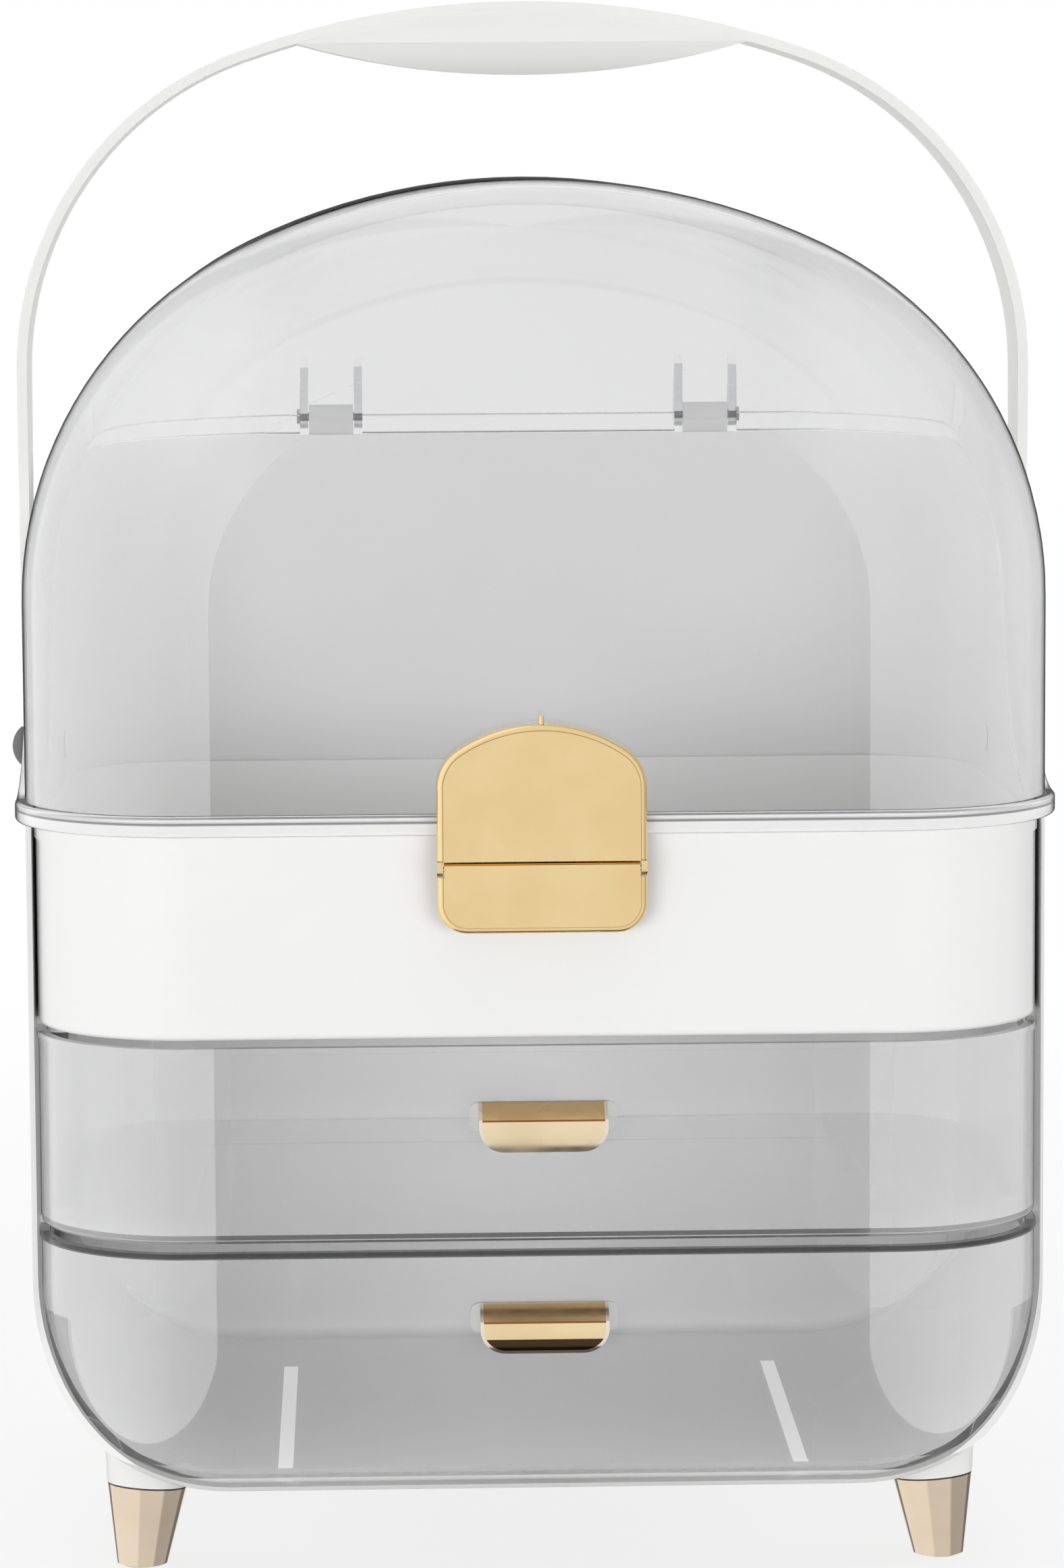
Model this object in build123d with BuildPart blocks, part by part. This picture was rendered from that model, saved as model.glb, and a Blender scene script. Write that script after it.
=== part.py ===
from build123d import *
from math import atan, atan2, cos, degrees, radians, sin, sqrt
import os

os.makedirs("parts", exist_ok=True)

# A domed storage box on four feet, in millimetres. The front faces -Y and +Z is up.
# The origin is on the floor, under the middle of the box.

# Body outline, seen from the front
half_width = 137.5
depth = 190.0
top_z = 374.0
crown_radius = 180.0
shoulder_radius = 105.0
base_z = 26.8
base_corner_radius = 54.0

# Rounding of the body, seen from above and from the side
front_round = 44.0
rear_round = 40.0
base_edge_round = 8.0

# Walls and gaps
shell_wall = 2.2
lid_wall = 2.2
tray_wall = 2.0
drawer_wall = 2.2
seat_gap = 0.3
slide_gap = 0.1
side_gap = 0.6
running_gap = 0.05

# Rolled rim of the lid, level in front and rising along the sides to the back
rim_z = 206.2
rim_half_height = 2.75
rim_reach = 2.7
rim_rear_reach = 1.6
rim_edge_round = 1.2
rear_rim_z = 302.0
swoop_front_y = -51.0
swoop_back_y = 75.0

# Tray
tray_base_z = 149.2
tray_floor = 2.2
tray_base_round = 1.6
tray_lip_height = 3.6
lip_reach = 0.5

# Drawers, with the ledges and runners that carry them
drawer_split_z = 93.6
drawer_seam = 2.2
drawer_floor = 2.2
drawer_top_gap = 2.0
drawer_side_drop = 5.0
drawer_rim_height = 1.6
drawer_rear_gap = 4.0
ledge_width = 7.0
ledge_height = 2.0
runner_inset = 71.0
runner_width = 4.0
runner_length = 130.0

# Hardware in front and behind reaches equally far from the body
hardware_reach = 8.0

# Latch
latch_width = 55.0
latch_top_z = 233.0
latch_shoulder_z = 222.0
latch_shoulder_round = 12.0
latch_split_z = 196.8
latch_bottom_z = 178.0
latch_corner_round = 8.0
latch_thickness = 3.8
latch_edge_round = 1.5
latch_border = 1.7
latch_field_step = 0.3
latch_pip_radius = 0.7
latch_pip_rise = 2.2
latch_pin_radius = 0.7
latch_barrel_radius = 1.8
latch_ear_width = 1.6
latch_foot_width = 38.0
latch_foot_height = 15.0
keeper_width = 18.0
keeper_height = 4.0
keeper_top_z = 187.0
keeper_reach = 3.5
hook_height = 2.2
hook_drop = 1.0
hook_overlap = 0.3

# Drawer pulls
pull_width = 34.0
pull_height = 12.6
pull_strip_height = 3.6
pull_skin = 1.5
pull_tuck = 2.4
pull_belly_drop = 8.4
pull_belly_tuck = 0.3
pull_corner_round = 7.0
pull_peg_radius = 1.6
pull_peg_spacing = 20.0
upper_pull_top_z = 132.4
lower_pull_top_z = 78.6
pull_ear_width = 39.0
pull_ear_height = 8.0
pull_ear_reach = 0.7
pull_ear_round = 2.6

# Hinges at the top of the back wall
hinge_inset = 82.5
hinge_axis_z = 304.0
hinge_knuckle_width = 12.9
hinge_lug_width = 2.4
hinge_side_gap = 0.3
hinge_barrel_radius = 3.5
hinge_pin_radius = 1.3
hinge_pin_head_radius = 2.2
hinge_pin_head_height = 0.9
hinge_arm_drop = 15.0
hinge_lug_rise = 20.0

# Carrying handle
handle_rise = 49.0
handle_side_reach = 5.8
handle_crown_radius = 240.0
handle_shoulder_radius = 95.0
handle_thickness = 2.8
handle_top_depth = 36.0
handle_end_depth = 16.0
pivot_y = 50.0
pivot_z = 212.5
pivot_boss_radius = 8.0
pivot_pin_radius = 2.8
pivot_snap_height = 1.0
knob_radius = 5.6
knob_edge = 0.8
knob_height = 3.4
grip_half_length = 66.0
grip_drop = 17.5
grip_depth = 33.0
grip_round_drop = 9.0

# Feet
foot_side_inset = 30.5
foot_end_inset = 38.5
foot_tilt = 6.0
foot_top_z = 22.0
foot_top_radius = 10.9
foot_tip_radius = 6.8
foot_boss_radius = 11.0
foot_boss_flare = 7.0
pad_radius = 5.2
pad_height = 1.5
pad_reach = 0.5
foot_screw_radius = 2.0
foot_screw_head_radius = 3.6
foot_screw_head_height = 2.2
foot_screw_drop = 16.0
foot_screw_rise = 8.0

# Screws that hold the tray down on its ledges
tray_screw_radius = 1.4
tray_screw_head_radius = 2.6
tray_screw_head_height = 1.0
tray_screw_length = 7.0
tray_boss_radius = 3.4
tray_boss_height = 5.0
tray_screw_end_inset = 6.6

# Derived places
front_y = -depth / 2
back_y = depth / 2
panel_front_y = front_y + lip_reach
hardware_front_y = front_y - hardware_reach
rear_inner_y = back_y - shell_wall
fit_inset = shell_wall + side_gap
rim_bottom_z = rim_z - rim_half_height
clear_of_body = 2 * half_width
ledge_front_y = front_y + front_round + drawer_wall + side_gap
ledge_back_y = back_y - rear_round
drawer_step_y = ledge_front_y - seat_gap
ledge_inner_x = half_width - fit_inset - ledge_width
handle_top_z = top_z + handle_rise
handle_half_width = half_width + handle_side_reach
pivot_boss_reach = handle_half_width - handle_thickness - seat_gap
hinge_x = half_width - hinge_inset
runner_x = half_width - runner_inset
foot_x = half_width - foot_side_inset
foot_y = depth / 2 - foot_end_inset


def free_box(low, high):
    """A box given by two opposite corners."""
    size = [abs(b - a) for a, b in zip(low, high)]
    middle = [(a + b) / 2 for a, b in zip(low, high)]
    return Pos(*middle) * Box(*size, mode=Mode.PRIVATE)


def free_rod(radius, start, end):
    """A round rod between two points."""
    axis = Vector(*end) - Vector(*start)
    return Solid.make_cylinder(radius, axis.length, Plane(origin=start, z_dir=axis))


def arch_sketch(half, top, crown, shoulder, foot):
    """An arch seen from the front: straight sides, round shoulders and a flatter crown."""
    side_x = half - shoulder
    crown_z = top - crown
    side_z = crown_z + sqrt((crown - shoulder) ** 2 - side_x**2)
    turn = degrees(atan2(side_z - crown_z, side_x))
    with BuildSketch(mode=Mode.PRIVATE) as outline:
        with BuildLine():
            Line((-half, foot), (half, foot))
            Line((half, foot), (half, side_z))
            CenterArc((side_x, side_z), shoulder, 0, turn)
            CenterArc((0, crown_z), crown, turn, 180 - 2 * turn)
            CenterArc((-side_x, side_z), shoulder, 180 - turn, turn)
            Line((-half, side_z), (-half, foot))
        make_face()
    return outline.sketch


def arch_block(inset, front, back, rounded_front=True):
    """The dome drawn in by inset, with rounded front and rear edges and straight sides below."""
    foot = base_z - base_edge_round
    sizes = [size - inset for size in (half_width, top_z, crown_radius, shoulder_radius)]
    with BuildPart(mode=Mode.PRIVATE) as block:
        with BuildSketch(Plane.XZ.offset(-back)):
            add(arch_sketch(*sizes, foot))
        extrude(amount=back - front)
        rear_face = block.faces().sort_by(Axis.Y)[-1]
        fillet(rear_face.edges().sort_by(Axis.Z)[1:], radius=rear_round - inset)
        if rounded_front:
            front_face = block.faces().sort_by(Axis.Y)[0]
            fillet(front_face.edges().sort_by(Axis.Z)[1:], radius=front_round - inset)
    return block.part


def base_block(inset, front, back, rounded_front=True):
    """A block with large rounded bottom corners, tightly rounded in front and behind."""
    side = half_width - inset
    corner = base_corner_radius - inset
    corner_x = half_width - base_corner_radius
    corner_z = base_z + base_corner_radius
    ceiling = top_z + crown_radius
    with BuildPart(mode=Mode.PRIVATE) as block:
        with BuildSketch(Plane.XZ.offset(-back)):
            with BuildLine():
                Line((-corner_x, base_z + inset), (corner_x, base_z + inset))
                CenterArc((corner_x, corner_z), corner, -90, 90)
                Line((side, corner_z), (side, ceiling))
                Line((side, ceiling), (-side, ceiling))
                Line((-side, ceiling), (-side, corner_z))
                CenterArc((-corner_x, corner_z), corner, 180, 90)
            make_face()
        extrude(amount=back - front)
        rear_face = block.faces().sort_by(Axis.Y)[-1]
        fillet(rear_face.edges().sort_by(Axis.Z)[:-1], radius=base_edge_round - inset)
        if rounded_front:
            front_face = block.faces().sort_by(Axis.Y)[0]
            fillet(front_face.edges().sort_by(Axis.Z)[:-1], radius=base_edge_round - inset)
    return block.part


def envelope(inset, front, back, rounded_front=True):
    """The whole body as one block, drawn in by inset."""
    with BuildPart(mode=Mode.PRIVATE) as body:
        add(arch_block(inset, front, back, rounded_front))
        add(base_block(inset, front, back, rounded_front), mode=Mode.INTERSECT)
    return body.part


def plan_block(inset, front, back, low, high):
    """A block with the body's outline seen from above, drawn in by inset."""
    width = 2 * (half_width - inset)
    with BuildPart(mode=Mode.PRIVATE) as block:
        with BuildSketch(Plane.XY.offset(low)) as outline:
            with Locations((0, (front + back) / 2)):
                Rectangle(width, back - front)
            fillet(outline.vertices().group_by(Axis.Y)[0], radius=front_round - inset)
            fillet(outline.vertices().group_by(Axis.Y)[-1], radius=rear_round - inset)
        extrude(amount=high - low)
    return block.part


def above_rim(lift):
    """Everything above the rim's swooping centre line, moved square to it by lift."""
    rise = rear_rim_z - rim_z
    run = swoop_back_y - swoop_front_y
    bend = (run**2 + rise**2) / (4 * rise)
    turn = 2 * degrees(atan(rise / run))
    far = clear_of_body
    with BuildPart(mode=Mode.PRIVATE) as region:
        with BuildSketch(Plane.YZ.offset(-clear_of_body)):
            with BuildLine():
                Line((-far, rim_z + lift), (swoop_front_y, rim_z + lift))
                CenterArc((swoop_front_y, rim_z + bend), bend - lift, -90, turn)
                CenterArc((swoop_back_y, rear_rim_z - bend), bend + lift, 90, turn)
                Line((swoop_back_y, rear_rim_z + lift), (far, rear_rim_z + lift))
                Line((far, rear_rim_z + lift), (far, top_z + far))
                Line((far, top_z + far), (-far, top_z + far))
                Line((-far, top_z + far), (-far, rim_z + lift))
            make_face()
        extrude(amount=2 * clear_of_body)
    return region.part


def below(level):
    """Everything below one height."""
    far = clear_of_body
    return free_box((-far, -far, -far), (far, far, level))


def above(level):
    """Everything above one height."""
    far = clear_of_body
    return free_box((-far, -far, level), (far, far, level + 2 * far))


# Feet: places and splay
def foot_plane(side, end):
    """The plane at the top of one foot, square to its splayed axis."""
    lean = sin(radians(foot_tilt)) / sqrt(2)
    top = (side * foot_x, end * foot_y, foot_top_z)
    return Plane(origin=top, z_dir=(-side * lean, -end * lean, cos(radians(foot_tilt))))


def foot_rod(radius, side, end, low, high, top_radius=None):
    """A rod or cone on one foot's axis, between two heights measured from the foot's top."""
    start = foot_plane(side, end).offset(low)
    if top_radius is None:
        return Solid.make_cylinder(radius, high - low, start)
    return Solid.make_cone(radius, top_radius, high - low, start)


def foot_tip(side, end):
    """The point where one foot's axis meets the floor."""
    plane = foot_plane(side, end)
    return plane.origin - plane.z_dir * (foot_top_z / plane.z_dir.Z)


foot_corners = [
    ("foot_front_left", -1, -1),
    ("foot_front_right", 1, -1),
    ("foot_rear_left", -1, 1),
    ("foot_rear_right", 1, 1),
]


# Hinge eyes on the shell and lugs on the lid
def eye_sketch(arm):
    """A hinge eye with its arm, seen from the side."""
    with BuildSketch(mode=Mode.PRIVATE) as eye:
        with Locations((hinge_axis_y, hinge_axis_z)):
            Circle(hinge_barrel_radius)
        with BuildLine():
            Polyline(*arm, close=True)
        make_face()
        with Locations((hinge_axis_y, hinge_axis_z)):
            Circle(hinge_pin_radius + running_gap, mode=Mode.SUBTRACT)
    return eye.sketch


hinge_axis_y = back_y + hardware_reach - hinge_barrel_radius
eye_inner_y = hinge_axis_y - hinge_barrel_radius + seat_gap
eye_outer_y = hinge_axis_y + hinge_barrel_radius
eye_low_z = rear_rim_z - rim_half_height - seat_gap
shell_arm = [
    (back_y - shell_wall / 2, eye_low_z),
    (eye_inner_y, eye_low_z),
    (eye_inner_y, hinge_axis_z),
    (eye_outer_y, hinge_axis_z),
    (eye_outer_y, hinge_axis_z - hinge_barrel_radius),
    (back_y - shell_wall / 2, hinge_axis_z - hinge_arm_drop),
]
lid_arm = [
    (back_y - lid_wall / 2, hinge_axis_z + hinge_lug_rise),
    (back_y - lid_wall / 2, hinge_axis_z + seat_gap),
    (eye_outer_y, hinge_axis_z + seat_gap),
    (eye_outer_y, hinge_axis_z + hinge_barrel_radius),
]
knuckle_half = hinge_knuckle_width / 2
lug_inner = knuckle_half + hinge_side_gap
lug_outer = lug_inner + hinge_lug_width


# White shell: back, sides and base in one moulding, open in front and above
ledge_levels = [drawer_split_z + drawer_seam / 2 - ledge_height, tray_base_z - ledge_height]
tray_screw_x = half_width - fit_inset - tray_wall - tray_boss_radius
tray_screw_places = [
    (side * tray_screw_x, y)
    for side in (-1, 1)
    for y in (ledge_front_y + tray_screw_end_inset, ledge_back_y - tray_screw_end_inset)
]
runner_start_y = front_y + base_edge_round
runner_end_y = runner_start_y + runner_length
runner_top_z = base_z + fit_inset - slide_gap
shell_block = envelope(0, front_y, back_y)
shell_cavity = envelope(shell_wall, front_y - front_round, rear_inner_y, rounded_front=False)
shell_opening = above_rim(-rim_half_height - seat_gap)
foot_bore = foot_screw_radius + running_gap

with BuildPart() as shell:
    add(shell_block)
    for name, side, end in foot_corners:
        reach = base_corner_radius
        flared = foot_boss_radius + foot_boss_flare
        add(foot_rod(foot_boss_radius, side, end, 0, reach, flared))
    add(shell_cavity, mode=Mode.SUBTRACT)
    add(shell_opening, mode=Mode.SUBTRACT)
    for name, side, end in foot_corners:
        add(foot_rod(foot_bore, side, end, 0, foot_screw_rise), mode=Mode.SUBTRACT)
    for side in (-1, 1):
        wall_x = side * (half_width - shell_wall / 2)
        for level in ledge_levels:
            corner = (side * ledge_inner_x, ledge_front_y, level)
            add(free_box(corner, (wall_x, ledge_back_y, level + ledge_height)))
        runner_low = (side * runner_x - runner_width / 2, runner_start_y, base_z + shell_wall / 2)
        runner_high = (side * runner_x + runner_width / 2, runner_end_y, runner_top_z)
        add(free_box(runner_low, runner_high))
        boss_end = (side * pivot_boss_reach, pivot_y, pivot_z)
        add(free_rod(pivot_boss_radius, (wall_x, pivot_y, pivot_z), boss_end))
        hole_start = (side * (half_width - 2 * shell_wall), pivot_y, pivot_z)
        add(free_rod(pivot_pin_radius, hole_start, boss_end), mode=Mode.SUBTRACT)
        with BuildSketch(Plane.YZ.offset(side * hinge_x - knuckle_half)):
            add(eye_sketch(shell_arm))
        extrude(amount=hinge_knuckle_width)
    for x, y in tray_screw_places:
        low_end = (x, y, tray_base_z - tray_boss_height)
        high_end = (x, y, tray_base_z)
        add(free_rod(tray_boss_radius, low_end, high_end))
        add(free_rod(tray_screw_radius + running_gap, low_end, high_end), mode=Mode.SUBTRACT)
shell.part.label = "shell"
export_step(shell.part, "parts/shell.step")

# White tray under the lid, fixed on the upper ledges
tray_top_z = rim_bottom_z - seat_gap
tray_back_y = rear_inner_y - seat_gap
tray_block = plan_block(fit_inset, panel_front_y, tray_back_y, tray_base_z, tray_top_z)
tray_lip = plan_block(
    fit_inset - lip_reach, front_y, tray_back_y, tray_top_z - tray_lip_height, tray_top_z
)
tray_cavity = plan_block(
    fit_inset + tray_wall, panel_front_y + tray_wall, tray_back_y - tray_wall,
    tray_base_z + tray_floor, tray_top_z,
)
with BuildPart() as tray:
    add(tray_block)
    fillet(tray.faces().sort_by(Axis.Z)[0].edges(), radius=tray_base_round)
    add(tray_lip)
    add(tray_cavity, mode=Mode.SUBTRACT)
    with Locations(*[(x, y, tray_base_z + tray_floor) for x, y in tray_screw_places]):
        Hole(radius=tray_screw_radius + running_gap, depth=2 * tray_floor)
tray.part.label = "tray"
export_step(tray.part, "parts/tray.step")

with BuildPart() as tray_screws:
    for x, y in tray_screw_places:
        head_z = tray_base_z + tray_floor
        head_top = (x, y, head_z + tray_screw_head_height)
        add(free_rod(tray_screw_head_radius, (x, y, head_z), head_top))
        add(free_rod(tray_screw_radius, (x, y, head_z - tray_screw_length), (x, y, head_z)))
tray_screws.part.label = "tray_screws"
export_step(tray_screws.part, "parts/tray_screws.step")

# Clear lid: domed shell with a rolled rim and two pairs of hinge lugs
lid_block = arch_block(0, front_y, back_y)
lid_cavity = arch_block(lid_wall, front_y + lid_wall, back_y - lid_wall)
rim_block = arch_block(-rim_reach, front_y - rim_reach, back_y + rim_rear_reach)
with BuildPart() as lid_rim:
    add(rim_block)
    add(above_rim(-rim_half_height), mode=Mode.INTERSECT)
    add(above_rim(rim_half_height), mode=Mode.SUBTRACT)
    band_area = 2 * rim_half_height * depth
    wide_faces = lid_rim.faces().filter_by(lambda face: face.area > 2 * band_area)
    wide_edges = [edge for face in wide_faces for edge in face.edges()]
    outline_edges = [
        edge for edge in wide_edges
        if abs(edge.center().X) > rim_reach or not front_y < edge.center().Y < back_y
    ]
    fillet(outline_edges, radius=rim_edge_round)

with BuildPart() as lid:
    add(lid_block)
    add(above_rim(-rim_half_height), mode=Mode.INTERSECT)
    add(lid_rim.part)
    add(lid_cavity, mode=Mode.SUBTRACT)
    for side in (-1, 1):
        notch_low = (side * hinge_x - lug_outer, back_y, rear_rim_z - 2 * rim_half_height)
        notch_high = (side * hinge_x + lug_outer, eye_outer_y, rear_rim_z + 2 * rim_half_height)
        add(free_box(notch_low, notch_high), mode=Mode.SUBTRACT)
        for start in (-lug_outer, lug_inner):
            with BuildSketch(Plane.YZ.offset(side * hinge_x + start)):
                add(eye_sketch(lid_arm))
            extrude(amount=hinge_lug_width)
lid.part.label = "lid"
export_step(lid.part, "parts/lid.step")

# Hinge pins with one headed end each
for name, side in (("hinge_pin_left", -1), ("hinge_pin_right", 1)):
    start_x = side * (hinge_x - lug_outer)
    end_x = side * (hinge_x + lug_outer)
    head_x = end_x + side * hinge_pin_head_height
    places = [(x, hinge_axis_y, hinge_axis_z) for x in (start_x, end_x, head_x)]
    with BuildPart() as hinge_pin:
        add(free_rod(hinge_pin_radius, places[0], places[1]))
        add(free_rod(hinge_pin_head_radius, places[1], places[2]))
    hinge_pin.part.label = name
    export_step(hinge_pin.part, f"parts/{name}.step")

# Latch: a plate on the lid and a flap that hangs on a pin under it
latch_half = latch_width / 2
latch_pin_y = hardware_front_y + latch_barrel_radius
latch_pin_z = latch_split_z - latch_barrel_radius
latch_back_y = hardware_front_y + latch_thickness
latch_plate_low_z = latch_split_z + seat_gap
ear_inner_x = latch_half - latch_ear_width
def latch_sketch(inset):
    """The latch seen from the front: a flat arch above two rounded lower corners."""
    with BuildSketch(mode=Mode.PRIVATE) as outline:
        with BuildLine():
            Line((-latch_half, latch_bottom_z), (latch_half, latch_bottom_z))
            Line((latch_half, latch_bottom_z), (latch_half, latch_shoulder_z))
            ThreePointArc(
                (latch_half, latch_shoulder_z), (0, latch_top_z), (-latch_half, latch_shoulder_z)
            )
            Line((-latch_half, latch_shoulder_z), (-latch_half, latch_bottom_z))
        make_face()
        fillet(outline.vertices().group_by(Axis.Y)[0], radius=latch_corner_round)
        fillet(outline.vertices().group_by(Axis.Y)[-1], radius=latch_shoulder_round)
        if inset:
            offset(amount=-inset)
    return outline.sketch


def latch_cover():
    """The latch's whole front: a rounded border round a slightly raised field."""
    with BuildPart(mode=Mode.PRIVATE) as cover:
        with BuildSketch(Plane.XZ.offset(-latch_back_y)):
            add(latch_sketch(0))
        extrude(amount=latch_thickness - latch_field_step)
        fillet(cover.faces().sort_by(Axis.Y)[0].edges(), radius=latch_edge_round)
        with BuildSketch(Plane.XZ.offset(-latch_back_y)):
            add(latch_sketch(latch_border))
        extrude(amount=latch_thickness)
    return cover.part


cover_block = latch_cover()
with BuildPart() as latch_plate:
    add(cover_block)
    add(below(latch_plate_low_z), mode=Mode.SUBTRACT)
    pip_y = latch_back_y - latch_thickness / 2
    pip_start = (0, pip_y, latch_top_z - latch_border)
    add(free_rod(latch_pip_radius, pip_start, (0, pip_y, latch_top_z + latch_pip_rise)))
    foot_low = (-latch_foot_width / 2, latch_back_y, rim_z + rim_half_height + seat_gap)
    foot_high = (latch_foot_width / 2, front_y, foot_low[2] + latch_foot_height)
    add(free_box(foot_low, foot_high))
    for side in (-1, 1):
        ear_low = (side * ear_inner_x, hardware_front_y, latch_pin_z)
        ear_high = (side * latch_half, latch_pin_y + latch_barrel_radius, latch_plate_low_z)
        add(free_box(ear_low, ear_high))
        ear_start = (side * ear_inner_x, latch_pin_y, latch_pin_z)
        ear_end = (side * latch_half, latch_pin_y, latch_pin_z)
        add(free_rod(latch_barrel_radius, ear_start, ear_end))
    bore_start = (-latch_half, latch_pin_y, latch_pin_z)
    bore_end = (latch_half, latch_pin_y, latch_pin_z)
    bore = latch_pin_radius + running_gap
    add(free_rod(bore, bore_start, bore_end), mode=Mode.SUBTRACT)
latch_plate.part.label = "latch_plate"
export_step(latch_plate.part, "parts/latch_plate.step")

with BuildPart() as latch_pin:
    add(free_rod(latch_pin_radius, bore_start, bore_end))
latch_pin.part.label = "latch_pin"
export_step(latch_pin.part, "parts/latch_pin.step")

barrel_half = ear_inner_x - seat_gap
flap_shoulder_z = latch_pin_z - latch_barrel_radius - seat_gap
hook_top_z = keeper_top_z - keeper_height - hook_drop
keeper_front_y = panel_front_y - keeper_reach
with BuildPart() as latch_flap:
    add(cover_block)
    add(above(latch_pin_z), mode=Mode.SUBTRACT)
    for side in (-1, 1):
        notch_low = (side * barrel_half, hardware_front_y, flap_shoulder_z)
        notch_high = (side * (latch_half + seat_gap), latch_back_y, latch_pin_z)
        add(free_box(notch_low, notch_high), mode=Mode.SUBTRACT)
    barrel_start = (-barrel_half, latch_pin_y, latch_pin_z)
    barrel_end = (barrel_half, latch_pin_y, latch_pin_z)
    add(free_rod(latch_barrel_radius, barrel_start, barrel_end))
    add(free_rod(bore, barrel_start, barrel_end), mode=Mode.SUBTRACT)
    hook_low = (-keeper_width / 2, latch_back_y, hook_top_z - hook_height)
    hook_high = (keeper_width / 2, keeper_front_y + hook_overlap, hook_top_z)
    add(free_box(hook_low, hook_high))
latch_flap.part.label = "latch_flap"
export_step(latch_flap.part, "parts/latch_flap.step")

with BuildPart() as latch_keeper:
    keeper_low = (-keeper_width / 2, keeper_front_y, keeper_top_z - keeper_height)
    add(free_box(keeper_low, (keeper_width / 2, panel_front_y, keeper_top_z)))
latch_keeper.part.label = "latch_keeper"
export_step(latch_keeper.part, "parts/latch_keeper.step")

# Drawer bins: clear trays with tall wrap-round fronts and lower sides
drawer_back_y = rear_inner_y - drawer_rear_gap
upper_drawer_low_z = drawer_split_z + drawer_seam / 2 + slide_gap
upper_drawer_top_z = tray_base_z - drawer_top_gap
lower_drawer_top_z = drawer_split_z - drawer_seam / 2
inner_inset = fit_inset + drawer_wall
inner_front_y = panel_front_y + drawer_wall
inner_back_y = drawer_back_y - drawer_wall


def finish_bin(top, pull_top):
    """Rim, lowered sides, ears and peg holes of the bin that is being built."""
    far = clear_of_body
    rim_low = top - drawer_rim_height
    rim = plan_block(fit_inset - lip_reach, front_y, drawer_back_y, rim_low, top)
    rim_cavity = plan_block(inner_inset, inner_front_y, inner_back_y, rim_low, top)
    add(rim - rim_cavity)
    side_low = (-far, drawer_step_y, top - drawer_side_drop)
    add(free_box(side_low, (far, far, top + far)), mode=Mode.SUBTRACT)
    ear_top = pull_top
    ear_half = pull_ear_width / 2
    ear_low = (-ear_half, panel_front_y - pull_ear_reach, ear_top - pull_ear_height)
    ear = free_box(ear_low, (ear_half, panel_front_y, ear_top))
    add(fillet_ends(ear))
    for side in (-1, 1):
        peg_x = side * pull_peg_spacing / 2
        peg_z = pull_top - pull_height / 2
        start = (peg_x, panel_front_y - pull_ear_reach, peg_z)
        end = (peg_x, inner_front_y, peg_z)
        add(free_rod(pull_peg_radius + running_gap, start, end), mode=Mode.SUBTRACT)


def fillet_ends(block):
    """A flat block with its four upright corners, seen from the front, rounded."""
    return block.fillet(pull_ear_round, block.edges().filter_by(Axis.Y))


upper_block = plan_block(
    fit_inset, panel_front_y, drawer_back_y, upper_drawer_low_z, upper_drawer_top_z
)
upper_cavity = plan_block(
    inner_inset, inner_front_y, inner_back_y, upper_drawer_low_z + drawer_floor, upper_drawer_top_z
)
with BuildPart() as upper_drawer_bin:
    add(upper_block)
    fillet(upper_drawer_bin.faces().sort_by(Axis.Z)[0].edges(), radius=tray_base_round)
    add(upper_cavity, mode=Mode.SUBTRACT)
    finish_bin(upper_drawer_top_z, upper_pull_top_z)
upper_drawer_bin.part.label = "upper_drawer_bin"
export_step(upper_drawer_bin.part, "parts/upper_drawer_bin.step")

lower_block = envelope(fit_inset, panel_front_y, drawer_back_y)
lower_cavity = envelope(inner_inset, inner_front_y, inner_back_y)
with BuildPart() as lower_drawer_bin:
    add(lower_block)
    add(lower_cavity, mode=Mode.SUBTRACT)
    add(above(lower_drawer_top_z), mode=Mode.SUBTRACT)
    finish_bin(lower_drawer_top_z, lower_pull_top_z)
lower_drawer_bin.part.label = "lower_drawer_bin"
export_step(lower_drawer_bin.part, "parts/lower_drawer_bin.step")

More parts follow.
